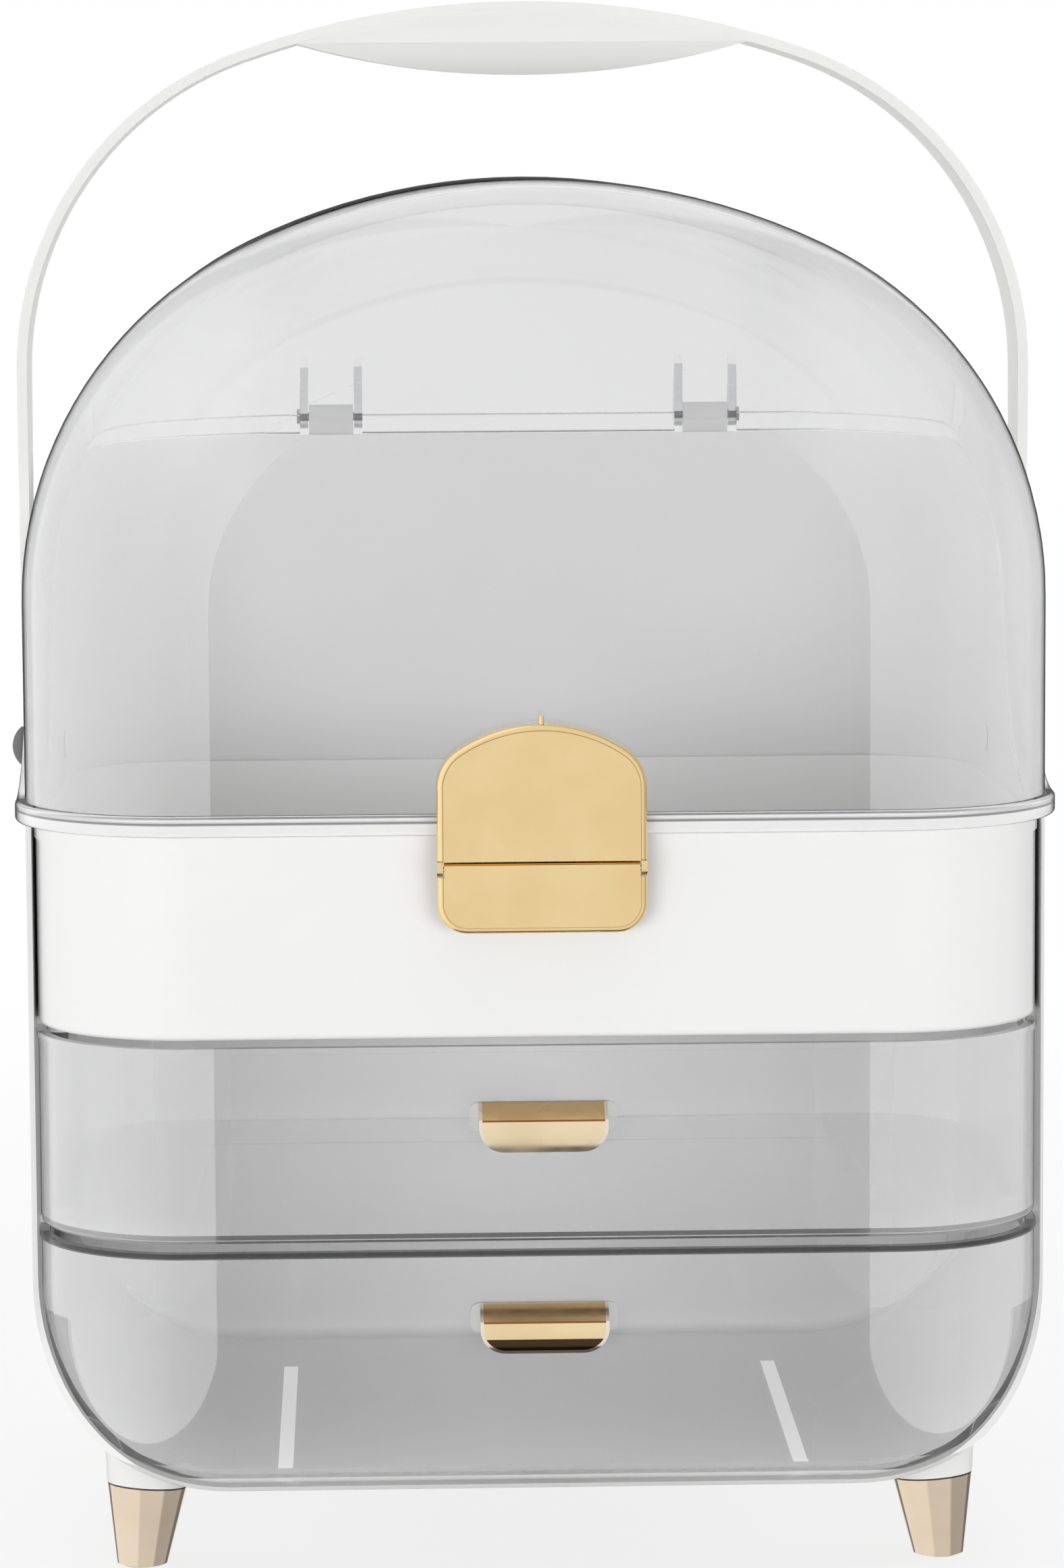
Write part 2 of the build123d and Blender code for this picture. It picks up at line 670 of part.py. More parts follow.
# Drawer pulls: a sloping top strip over a curved finger lip, with two pegs
pull_back_y = panel_front_y - pull_ear_reach
pull_tops = {"upper_drawer_pull": upper_pull_top_z, "lower_drawer_pull": lower_pull_top_z}
for name, pull_top in pull_tops.items():
    pull_low = pull_top - pull_height
    ridge = (hardware_front_y, pull_top - pull_strip_height)
    lip_front = (hardware_front_y + pull_tuck, pull_low)
    belly = (hardware_front_y + pull_belly_tuck, pull_top - pull_belly_drop)
    inner_ridge_z = pull_top - pull_strip_height - pull_skin
    lip_inner = (lip_front[0] + pull_skin, pull_low)
    inner_belly = (belly[0] + pull_skin, belly[1])
    with BuildPart() as pull:
        with BuildSketch(Plane.YZ.offset(-pull_width / 2)):
            with BuildLine():
                Line((pull_back_y, pull_low), (pull_back_y, pull_top))
                Line((pull_back_y, pull_top), (pull_back_y - pull_skin, pull_top))
                Line((pull_back_y - pull_skin, pull_top), ridge)
                ThreePointArc(ridge, belly, lip_front)
                Line(lip_front, (pull_back_y, pull_low))
            make_face()
        extrude(amount=pull_width)
        with BuildSketch(Plane.XZ.offset(-pull_back_y)) as face_outline:
            with Locations((0, pull_top - pull_height / 2)):
                Rectangle(pull_width, pull_height)
            fillet(face_outline.vertices().group_by(Axis.Y)[0], radius=pull_corner_round)
        extrude(amount=2 * hardware_reach, mode=Mode.INTERSECT)
        with BuildSketch(Plane.YZ.offset(-pull_width / 2 + pull_corner_round / 2)):
            with BuildLine():
                Line(lip_inner, (pull_back_y - pull_skin, pull_low))
                Line((pull_back_y - pull_skin, pull_low), (pull_back_y - pull_skin, inner_ridge_z))
                Line((pull_back_y - pull_skin, inner_ridge_z), (ridge[0] + pull_skin, inner_ridge_z))
                ThreePointArc((ridge[0] + pull_skin, inner_ridge_z), inner_belly, lip_inner)
            make_face()
        extrude(amount=pull_width - pull_corner_round, mode=Mode.SUBTRACT)
        for side in (-1, 1):
            peg_x = side * pull_peg_spacing / 2
            peg_z = pull_top - pull_height / 2
            peg_start = (peg_x, pull_back_y, peg_z)
            peg_end = (peg_x, inner_front_y, peg_z)
            add(free_rod(pull_peg_radius, peg_start, peg_end))
    pull.part.label = name
    export_step(pull.part, f"parts/{name}.step")

# Carrying handle: a thin bail with a thick lens-shaped grip
handle_foot_z = pivot_z - handle_end_depth / 2
handle_sizes = (handle_half_width, handle_top_z, handle_crown_radius, handle_shoulder_radius)
inner_sizes = [size - handle_thickness for size in handle_sizes]
handle_front_y = pivot_y - handle_top_depth / 2
handle_back_y = pivot_y + handle_top_depth / 2
grip_bottom_z = handle_top_z - handle_thickness - grip_drop
grip_end_radius = handle_crown_radius - handle_thickness / 2
crown_z = handle_top_z - handle_crown_radius
grip_end_z = crown_z + sqrt(grip_end_radius**2 - grip_half_length**2)
grip_left = (-grip_half_length, grip_end_z)
grip_right = (grip_half_length, grip_end_z)
with BuildPart() as grip:
    with BuildSketch(Plane.XZ.offset(-handle_back_y)):
        with BuildLine():
            ThreePointArc(grip_left, (0, crown_z + grip_end_radius), grip_right)
            ThreePointArc(grip_right, (0, grip_bottom_z), grip_left)
        make_face()
    extrude(amount=handle_top_depth)
    round_z = grip_bottom_z + grip_round_drop
    grip_front = pivot_y - grip_depth / 2
    grip_back = pivot_y + grip_depth / 2
    with BuildSketch(Plane.YZ.offset(-grip_half_length)):
        with BuildLine():
            Line((grip_front, handle_top_z), (grip_front, round_z))
            ThreePointArc((grip_front, round_z), (pivot_y, grip_bottom_z), (grip_back, round_z))
            Line((grip_back, round_z), (grip_back, handle_top_z))
            Line((grip_back, handle_top_z), (grip_front, handle_top_z))
        make_face()
    extrude(amount=2 * grip_half_length, mode=Mode.INTERSECT)

with BuildPart() as handle:
    with BuildSketch(Plane.XZ.offset(-handle_back_y)):
        add(arch_sketch(*handle_sizes, handle_foot_z))
        add(arch_sketch(*inner_sizes, handle_foot_z), mode=Mode.SUBTRACT)
    extrude(amount=handle_top_depth)
    with BuildSketch(Plane.YZ.offset(-clear_of_body)):
        with BuildLine():
            Polyline(
                (pivot_y - handle_end_depth / 2, pivot_z),
                (pivot_y - handle_top_depth / 2, handle_top_z + handle_thickness),
                (pivot_y + handle_top_depth / 2, handle_top_z + handle_thickness),
                (pivot_y + handle_end_depth / 2, pivot_z),
                close=True,
            )
        make_face()
        with Locations((pivot_y, pivot_z)):
            Circle(handle_end_depth / 2)
    extrude(amount=2 * clear_of_body, mode=Mode.INTERSECT)
    add(grip.part)
    for side in (-1, 1):
        hole_start = (side * (handle_half_width - 2 * handle_thickness), pivot_y, pivot_z)
        hole_end = (side * (handle_half_width + handle_thickness), pivot_y, pivot_z)
        add(free_rod(pivot_pin_radius, hole_start, hole_end), mode=Mode.SUBTRACT)
handle.part.label = "handle"
export_step(handle.part, "parts/handle.step")

# Domed knobs that the handle turns on, snapped through the shell's bosses
stem_radius = pivot_pin_radius - running_gap
snap_x = half_width - shell_wall - seat_gap
cap_x = handle_half_width + seat_gap
cap_rise = knob_height - knob_edge
cap_sphere_radius = (knob_radius**2 + cap_rise**2) / (2 * cap_rise)
for name, side in (("pivot_knob_left", -1), ("pivot_knob_right", 1)):
    axis_points = [
        (side * x, pivot_y, pivot_z)
        for x in (snap_x - pivot_snap_height, snap_x, cap_x, cap_x + knob_radius)
    ]
    sphere_x = side * (cap_x + knob_height - cap_sphere_radius)
    dome = Pos(sphere_x, pivot_y, pivot_z) * Rot(Z=90) * Sphere(cap_sphere_radius)
    with BuildPart() as knob:
        add(free_rod(knob_radius, axis_points[2], axis_points[3]))
        add(dome, mode=Mode.INTERSECT)
        add(free_rod(stem_radius, axis_points[0], axis_points[2]))
        add(free_rod(stem_radius + pivot_snap_height, axis_points[0], axis_points[1]))
    knob.part.label = name
    export_step(knob.part, f"parts/{name}.step")

# Gold feet, their rubber pads and their screws
foot_drop = foot_top_z / cos(radians(foot_tilt))
for name, side, end in foot_corners:
    tip = foot_tip(side, end)
    recess_start = (tip.X, tip.Y, 0)
    recess_end = (tip.X, tip.Y, pad_height)
    with BuildPart() as foot:
        add(foot_rod(foot_tip_radius, side, end, -foot_drop, 0, foot_top_radius))
        add(below(pad_reach), mode=Mode.SUBTRACT)
        add(free_rod(pad_radius + running_gap, recess_start, recess_end), mode=Mode.SUBTRACT)
        add(foot_rod(foot_bore, side, end, -foot_drop, 0), mode=Mode.SUBTRACT)
        head_bore = foot_screw_head_radius + running_gap
        head_low = -foot_drop - pad_height
        add(foot_rod(head_bore, side, end, head_low, -foot_screw_drop), mode=Mode.SUBTRACT)
    foot.part.label = name
    export_step(foot.part, f"parts/{name}.step")

with BuildPart() as foot_pads:
    for name, side, end in foot_corners:
        tip = foot_tip(side, end)
        add(free_rod(pad_radius, (tip.X, tip.Y, 0), (tip.X, tip.Y, pad_height)))
foot_pads.part.label = "foot_pads"
export_step(foot_pads.part, "parts/foot_pads.step")

with BuildPart() as foot_screws:
    for name, side, end in foot_corners:
        low = -foot_screw_drop
        add(foot_rod(foot_screw_head_radius, side, end, low - foot_screw_head_height, low))
        add(foot_rod(foot_screw_radius, side, end, low, foot_screw_rise))
foot_screws.part.label = "foot_screws"
export_step(foot_screws.part, "parts/foot_screws.step")
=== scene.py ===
from functools import partial
from math import cos, radians, sin, sqrt

import bpy
from mathutils import Matrix, Vector

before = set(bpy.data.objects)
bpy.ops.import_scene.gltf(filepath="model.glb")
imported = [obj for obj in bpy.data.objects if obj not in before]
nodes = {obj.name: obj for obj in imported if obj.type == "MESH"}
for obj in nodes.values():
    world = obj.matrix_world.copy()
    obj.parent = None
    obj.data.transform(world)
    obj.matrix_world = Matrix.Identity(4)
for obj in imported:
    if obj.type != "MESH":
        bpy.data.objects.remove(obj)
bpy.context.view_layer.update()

MM = 0.001

# Camera: a long lens, a little lower than the grip and a little left of the middle
PHOTO_HEIGHT_PX = 2324
FOCAL_PX = 8265
SENSOR = 36.0
CAMERA_PLACE = (-45.75 * MM, -1545 * MM, 381.6 * MM)
CAMERA_PITCH, CAMERA_YAW, CAMERA_ROLL = 6.49, 1.715, 0.35
CLIP_START, CLIP_END = 0.05, 50


def make_camera():
    data = bpy.data.cameras.new("camera")
    data.sensor_fit = "VERTICAL"
    data.sensor_height = SENSOR
    data.lens = FOCAL_PX / PHOTO_HEIGHT_PX * SENSOR
    data.clip_start = CLIP_START
    data.clip_end = CLIP_END
    camera = bpy.data.objects.new("camera", data)
    turn = Matrix.Rotation(-radians(CAMERA_YAW), 4, "Z")
    tilt = Matrix.Rotation(radians(90 - CAMERA_PITCH), 4, "X")
    roll = Matrix.Rotation(-radians(CAMERA_ROLL), 4, "Z")
    camera.matrix_world = Matrix.Translation(CAMERA_PLACE) @ turn @ tilt @ roll
    bpy.context.scene.collection.objects.link(camera)
    bpy.context.scene.camera = camera


# Node trees
class Nodes:
    """A material's or the world's node tree, emptied, with short calls to add and feed nodes."""

    def __init__(self, tree):
        self.tree = tree
        tree.nodes.clear()

    def add(self, kind, **settings):
        """A new node; each setting is an input or, where there is none of that name, a property."""
        node = self.tree.nodes.new(kind)
        for name, value in settings.items():
            if name in node.inputs:
                self.feed(value, node.inputs[name])
            else:
                setattr(node, name, value)
        return node

    def join(self, source, target):
        self.tree.links.new(source, target)

    def feed(self, source, target):
        """Joins a socket to an input, or sets the input to a number, a vector or a colour."""
        if isinstance(source, bpy.types.NodeSocket):
            self.join(source, target)
        elif target.type == "RGBA":
            target.default_value = (*source, 1)
        else:
            target.default_value = source


def new_material(name):
    """A material with its node tree and the input for its surface."""
    material = bpy.data.materials.new(name)
    material.use_nodes = True
    net = Nodes(material.node_tree)
    output = net.add("ShaderNodeOutputMaterial")
    return material, net, output.inputs["Surface"]


def maths(net, operation, first, second=0):
    """The result of one operation; each side is a number or a socket."""
    node = net.add("ShaderNodeMath", operation=operation)
    net.feed(first, node.inputs[0])
    net.feed(second, node.inputs[1])
    return node.outputs["Value"]


def larger(net, first, second):
    return maths(net, "MAXIMUM", first, second)


def both(net, first, second):
    return maths(net, "MULTIPLY", first, second)


def over(net, value, place):
    """How far a value lies beyond a place, and zero up to it."""
    return larger(net, maths(net, "SUBTRACT", value, place), 0)


def short_of(net, value, place):
    """How far a value lies short of a place, and zero beyond it."""
    return larger(net, maths(net, "SUBTRACT", place, value), 0)


def length(net, vector):
    node = net.add("ShaderNodeVectorMath", operation="LENGTH")
    net.join(vector, node.inputs[0])
    return node.outputs["Value"]


def span(net, first, second):
    """The diagonal of two lengths."""
    joined = net.add("ShaderNodeCombineXYZ", X=first, Y=second)
    return length(net, joined.outputs["Vector"])


def object_coordinates(net):
    return net.add("ShaderNodeTexCoord").outputs["Object"]


def place_along(net, axis):
    """The place along an axis or, for SIDE, the distance from the object's middle plane."""
    split = net.add("ShaderNodeSeparateXYZ", Vector=object_coordinates(net))
    if axis == "SIDE":
        return maths(net, "ABSOLUTE", split.outputs["X"])
    return split.outputs[axis]


def above(net, axis, place):
    """One beyond a place along an axis, and zero up to it."""
    return maths(net, "GREATER_THAN", place_along(net, axis), place)


def below(net, axis, place):
    """One up to a place along an axis, and zero beyond it."""
    return maths(net, "LESS_THAN", place_along(net, axis), place)


def band(net, axis, low, high):
    """One between two places along an axis, and zero elsewhere."""
    return both(net, above(net, axis, low), below(net, axis, high))


def spread(net, value, low, high, from_low=0.3, from_high=0.7):
    """A value mapped smoothly to a range from another one, by default the one that noise fills."""
    ramp = net.add("ShaderNodeMapRange", interpolation_type="SMOOTHSTEP")
    ends = {"From Min": from_low, "From Max": from_high, "To Min": low, "To Max": high}
    for name, source in ends.items():
        net.feed(source, ramp.inputs[name])
    net.join(value, ramp.inputs["Value"])
    return ramp.outputs["Result"]


def mixed(net, factor, first, second, **settings):
    """The first value where the factor is zero and the second where it is one."""
    mix = net.add("ShaderNodeMix", **settings)
    for name, source in (("Factor", factor), ("A", first), ("B", second)):
        net.feed(source, mix.inputs[name])
    return mix.outputs["Result"]


def colour_mix(net, factor, first, second, blend="MIX"):
    return mixed(net, factor, first, second, data_type="RGBA", blend_type=blend)


def shader_mix(net, factor, first, second):
    mix = net.add("ShaderNodeMixShader", Fac=factor)
    net.join(first, mix.inputs[1])
    net.join(second, mix.inputs[2])
    return mix.outputs["Shader"]


def noise(net, scale, detail, roughness=0.5, stretch=None):
    source = object_coordinates(net)
    if stretch is not None:
        source = net.add("ShaderNodeMapping", Scale=stretch, Vector=source).outputs["Vector"]
    texture = net.add("ShaderNodeTexNoise", Scale=scale, Detail=detail, Roughness=roughness)
    net.join(source, texture.inputs["Vector"])
    return texture.outputs["Fac"]


def bump(net, height, strength, distance):
    node = net.add("ShaderNodeBump", Strength=strength, Distance=distance, Height=height)
    return node.outputs["Normal"]


def principled(net, colour, roughness, normal, **settings):
    shader = net.add("ShaderNodeBsdfPrincipled", Roughness=roughness, Normal=normal, **settings)
    net.join(colour, shader.inputs["Base Color"])
    return shader


# Moulded plastic: noise settings, the part of the noise's range in use, and the surface's grain
MOTTLE, MOTTLE_RANGE = {"scale": 22.0, "detail": 8.0, "roughness": 0.6}, (0.2, 0.8)
GRAIN, GRAIN_STRENGTH, GRAIN_DEPTH = {"scale": 700.0, "detail": 1.0}, 0.05, 0.02 * MM
PLASTIC_IOR = 1.5
GLOSS_SPREAD = (0.95, 1.05)


def plastic(name, colour, shade, rough, paint=None):
    """Moulded opaque plastic: faint mottling, uneven gloss and a very fine surface.

    The paint changes its colour at set places."""
    material, net, surface = new_material(name)
    broad = noise(net, **MOTTLE)
    body = colour_mix(net, spread(net, broad, 0, 1, *MOTTLE_RANGE), colour, shade)
    if paint is not None:
        body = paint(net, body)
    gloss = spread(net, broad, *(rough * share for share in GLOSS_SPREAD), *MOTTLE_RANGE)
    fine = bump(net, noise(net, **GRAIN), GRAIN_STRENGTH, GRAIN_DEPTH)
    shader = principled(net, body, gloss, fine, IOR=PLASTIC_IOR)
    net.join(shader.outputs["BSDF"], surface)
    return material


# Painted shade: the inside of the shell's back wall, seen through the clear parts, is made greyer
# than the rest, for the shade inside the case
WALL_FADE, WALL_START, WALL_END = 62 * MM, 88 * MM, 102 * MM
WALL_SHADE_TINT = (0.91, 0.91, 0.915)


def shaded_back_wall(net, body):
    inner = spread(net, place_along(net, "Y"), 0, 1, WALL_FADE, WALL_START)
    wall = both(net, inner, below(net, "Y", WALL_END))
    # Painted shade: greyer on the inside of the back wall
    return colour_mix(net, wall, body, WALL_SHADE_TINT, blend="MULTIPLY")


# The knobs' stems and collars, inside the case, are white
CASE_SIDE = 137.5 * MM
STEM_COLOUR = (0.87, 0.87, 0.865)


def white_stem(net, body):
    return colour_mix(net, above(net, "SIDE", CASE_SIDE), STEM_COLOUR, body)


# Plated metal: noise settings, how much its clouds change its roughness, and its ripples
CLOUDS, CLOUD_SPREAD = {"scale": 60.0, "detail": 5.0}, (0.7, 1.5)
RIPPLES, RIPPLE_STRENGTH, RIPPLE_DEPTH = {"scale": 35.0, "detail": 1.0}, 0.15, 0.2 * MM
# Painted shade in its sharp inner corners, where an ambient occlusion node finds them
SEAM_REACH, SEAM_RANGE, SEAM_SAMPLES = 0.6 * MM, (0.55, 0.85), 8
CORNER_SHADE_COLOUR = (0.25, 0.12, 0.03)


def corner_shade(net):
    """Zero in a narrow inner corner and one on open surfaces."""
    corner = net.add("ShaderNodeAmbientOcclusion", samples=SEAM_SAMPLES, only_local=True,
                     Distance=SEAM_REACH)
    return spread(net, corner.outputs["AO"], 0, 1, *SEAM_RANGE)


def plating(name, colour, shade, rough, paint=None):
    """Bright plated metal over a moulding: slow ripples, soft cloudiness and painted shade in its
    corners.

    The paint changes its colour at set places."""
    material, net, surface = new_material(name)
    cloud = noise(net, **CLOUDS)
    unshaded = colour_mix(net, spread(net, cloud, 0, 1), colour, shade)
    # Painted shade: darker in narrow inner corners
    body = colour_mix(net, corner_shade(net), CORNER_SHADE_COLOUR, unshaded)
    if paint is not None:
        body = paint(net, body)
    gloss = spread(net, cloud, *(rough * share for share in CLOUD_SPREAD))
    ripple = bump(net, noise(net, **RIPPLES), RIPPLE_STRENGTH, RIPPLE_DEPTH)
    shader = principled(net, body, gloss, ripple, Metallic=1.0)
    net.join(shader.outputs["BSDF"], surface)
    return material


# The feet splay outwards by this angle; a dark line runs round each where it meets its boss
FOOT_SPLAY = radians(6)
FOOT_TOP = (107 * MM, 56.5 * MM, 22 * MM)
JOINT_LINE = 0.5 * MM
JOINT_COLOUR = (0.09, 0.08, 0.07)


def foot_line(net, body):
    """The dark line round the top of each foot."""
    lean = sin(FOOT_SPLAY) / sqrt(2)
    up_the_foot = Vector((-lean, -lean, cos(FOOT_SPLAY)))
    quarter = net.add("ShaderNodeVectorMath", operation="ABSOLUTE")
    net.join(object_coordinates(net), quarter.inputs[0])
    height = net.add("ShaderNodeVectorMath", operation="DOT_PRODUCT")
    net.join(quarter.outputs["Vector"], height.inputs[0])
    height.inputs[1].default_value = up_the_foot
    line_start = up_the_foot.dot(Vector(FOOT_TOP)) - JOINT_LINE
    line = maths(net, "GREATER_THAN", height.outputs["Value"], line_start)
    return colour_mix(net, line, body, JOINT_COLOUR)


# Drawer pulls, painted: a darker strip (painted reflection) above a dark line (painted shade at the
# step) above the lip, and a pale rim (painted highlight) round their rounded lower side
PULL_HALF, PULL_HEIGHT, PULL_ROUND = 17 * MM, 12.6 * MM, 7 * MM
PULL_STRIP, PULL_LINE, PULL_RIM, RIM_BLUR = 3.6 * MM, 0.5 * MM, 0.9 * MM, 0.05 * MM
STRIP_REFLECTION_COLOUR = (0.72, 0.5, 0.26)
STEP_SHADE_COLOUR = (0.3, 0.12, 0.03)
BELLY_REFLECTION_COLOUR = (0.07, 0.045, 0.02)
RIM_HIGHLIGHT_COLOUR = (0.9, 0.82, 0.7)
UPPER_PULL_TOP, LOWER_PULL_TOP = 132.4 * MM, 78.6 * MM
# The lower pull's lip carries a painted dark reflection up to this far above its lower edge
DARK_REFLECTION_REACH = 4.2 * MM


def pull_face(net, body, top, dark):
    """The face of a pull with its top at this height: a painted reflection in its strip, painted
    shade in its line, a painted highlight in its rim, and a painted dark reflection up to this far
    above its lower edge.
    """
    bottom, ridge = top - PULL_HEIGHT, top - PULL_STRIP
    # Painted reflection in the strip, and painted shade in the line below it
    body = colour_mix(net, above(net, "Z", ridge), body, STRIP_REFLECTION_COLOUR)
    body = colour_mix(net, band(net, "Z", ridge - PULL_LINE, ridge), body, STEP_SHADE_COLOUR)
    # Painted dark reflection along the lower pull's lip
    body = colour_mix(net, below(net, "Z", bottom + dark), body, BELLY_REFLECTION_COLOUR)
    # Painted highlight round the rounded lower side
    beside = over(net, place_along(net, "SIDE"), PULL_HALF - PULL_ROUND)
    under = short_of(net, place_along(net, "Z"), bottom + PULL_ROUND)
    from_core = span(net, beside, under)
    rim_start = PULL_ROUND - PULL_RIM
    rim = spread(net, from_core, 0, 1, rim_start - RIM_BLUR, rim_start + RIM_BLUR)
    return colour_mix(net, rim, body, RIM_HIGHLIGHT_COLOUR)


# Clear walls pass less light where the moulding turns towards the sides, a painted highlight that
# makes them paler: from a sharp line at one distance round a core of this half width and height,
# and more so up to a second distance
CORE_HALF, CORE_TOP = 32.5 * MM, 261.6 * MM
TURN_START, TURN_BLUR, TURN_END = 54.2 * MM, 0.4 * MM, 92 * MM
# The share of the painted paleness that the line starts with
TURN_SHARE = 0.5
# The middle of the lid's crown stays clear
CROWN_CLEAR, CROWN_TURN = 55 * MM, 82 * MM
# In the lower drawer the pale zone ends below in half an ellipse
CORNER_PLACE, CORNER_REACH = (106 * MM, 72 * MM), (20 * MM, 31 * MM)
CORNER_EDGE = (0.99, 1.01)


def pale_corner(net):
    """One above the ellipse's middle and inside its lower half, and zero elsewhere."""
    (side, level), (wide, deep) = CORNER_PLACE, CORNER_REACH
    across = maths(net, "SUBTRACT", place_along(net, "SIDE"), side)
    down = short_of(net, place_along(net, "Z"), level)
    shares = (maths(net, "DIVIDE", across, wide), maths(net, "DIVIDE", down, deep))
    inside = spread(net, span(net, *shares), 1, 0, *CORNER_EDGE)
    return larger(net, inside, above(net, "Z", level))


def walls(net, middle, sides):
    """The share of light that walls pass, between those for the middle and for the sides; the lower
    share at the sides is a painted highlight.
    """
    from_core = span(net, over(net, place_along(net, "SIDE"), CORE_HALF),
                     over(net, place_along(net, "Z"), CORE_TOP))
    start = middle + TURN_SHARE * (sides - middle)
    side_highlight_share = spread(net, from_core, start, sides, TURN_START, TURN_END)
    outside = spread(net, from_core, 0, 1, TURN_START - TURN_BLUR, TURN_START)
    beside = spread(net, place_along(net, "SIDE"), 0, 1, CROWN_CLEAR, CROWN_TURN)
    turn = both(net, both(net, outside, beside), pale_corner(net))
    # Painted highlight: less light passes at the sides, so they look paler
    return mixed(net, turn, middle, side_highlight_share)


# In front the lid's flange is painted pale over the white tray, a painted highlight, between two
# painted dark lines of shade
FLANGE, FLANGE_HIGHLIGHT_TINT, FLANGE_HIGHLIGHT_CLEARNESS = (203.2 * MM, 208.3 * MM), (0.99, 0.99, 0.99), 0.55
FLANGE_FADE, FLANGE_BACK = -58 * MM, -48 * MM
TOP_LINE, TOP_LINE_SHADE_TINT = (206.6 * MM, 207.2 * MM), (0.25, 0.25, 0.26)
LOW_LINE, LOW_LINE_SHADE_TINT = (203.2 * MM, 203.7 * MM), (0.7, 0.7, 0.7)
# The lower drawer's rim is painted as a dark line of shade under the upper drawer
DRAWER_LINE, DRAWER_LINE_SHADE_TINT = (90.9 * MM, 92.6 * MM), (0.1, 0.1, 0.1)
# The lid's hinge lugs, behind its back wall, are painted greyer than the wall: painted shade
LUG_START, LUG_SHADE_TINT = 96.7 * MM, (0.42, 0.43, 0.44)


def flange_front(net):
    """One in front, where the flange is level, and zero behind."""
    return spread(net, place_along(net, "Y"), 1, 0, FLANGE_FADE, FLANGE_BACK)


def edge_lines(net, body):
    """Painted light: the pale flange with its two dark lines, the lower drawer's dark rim and the
    greyer hinge lugs.
    """
    front = flange_front(net)
    # Painted highlight on the flange, and painted shade in its two lines
    bands = ((FLANGE, FLANGE_HIGHLIGHT_TINT), (TOP_LINE, TOP_LINE_SHADE_TINT), (LOW_LINE, LOW_LINE_SHADE_TINT))
    for place, tint in bands:
        body = colour_mix(net, both(net, front, band(net, "Z", *place)), body, tint)
    # Painted shade along the lower drawer's rim
    body = colour_mix(net, band(net, "Z", *DRAWER_LINE), body, DRAWER_LINE_SHADE_TINT)
    # Painted shade on the hinge lugs
    return colour_mix(net, above(net, "Y", LUG_START), body, LUG_SHADE_TINT)


# Two stripes on the lower drawer's floor, over the runner ribs, are painted white and glow: a
# painted highlight
STRIPE_SIDE, STRIPE_LEVEL = (67 * MM, 71 * MM), (31.5 * MM, 32.2 * MM)
STRIPE_LENGTH = (-84 * MM, 43 * MM)
STRIPE_HIGHLIGHT_GLOW = (0.3, 0.3, 0.3)


def highlight_stripes(net):
    """One in the two stripes, and zero elsewhere."""
    level = both(net, band(net, "SIDE", *STRIPE_SIDE), band(net, "Z", *STRIPE_LEVEL))
    return both(net, level, band(net, "Y", *STRIPE_LENGTH))


# The ears behind the pulls stand in front of the drawers' faces and pass less light, a painted
# highlight that makes them paler
EAR_HALF, EAR_FRONT = 21 * MM, -95.1 * MM
# The lower drawer's front passes less light along its bottom edge: painted light, paler in place of
# the dark line that refraction gives there
TOE_TOP, TOE_BACK, TOE_CLEARNESS = 31.6 * MM, -84 * MM, 0.2


def clearness(net, middle, sides, ears, stripe, stripes):
    """The share of light that each place of a clear piece passes."""
    # Painted highlight: the flange passes less light
    flange = both(net, flange_front(net), band(net, "Z", *FLANGE))
    # Painted light: paler along the lower drawer's bottom edge
    toe = both(net, below(net, "Z", TOE_TOP), below(net, "Y", TOE_BACK))
    # Painted highlight: the ears pass less light
    ear = both(net, below(net, "SIDE", EAR_HALF), below(net, "Y", EAR_FRONT))
    places = ((flange, FLANGE_HIGHLIGHT_CLEARNESS), (toe, TOE_CLEARNESS), (ear, ears), (stripe, stripes))
    passed = walls(net, middle, sides)
    for mask, share in places:
        passed = mixed(net, mask, passed, share)
    return passed


# Clear plastic: noise settings, how much darker its clouds are, its gloss and its ripples
HAZE, HAZE_SHARE = {"scale": 14.0, "detail": 3.0}, 0.985
CLEAR_ROUGH, CLEAR_IOR = (0.005, 0.02), 1.49
WAVES, WAVE_STRENGTH, WAVE_DEPTH = {"scale": 18.0, "detail": 1.0}, 0.06, 0.3 * MM
# Its painted dark outlines, standing in for the dark edges that refraction gives, which the bottom
# edge doesn't have
OUTLINE_SHADE_TINT = (0.3, 0.3, 0.3)
OUTLINE_START = 34 * MM


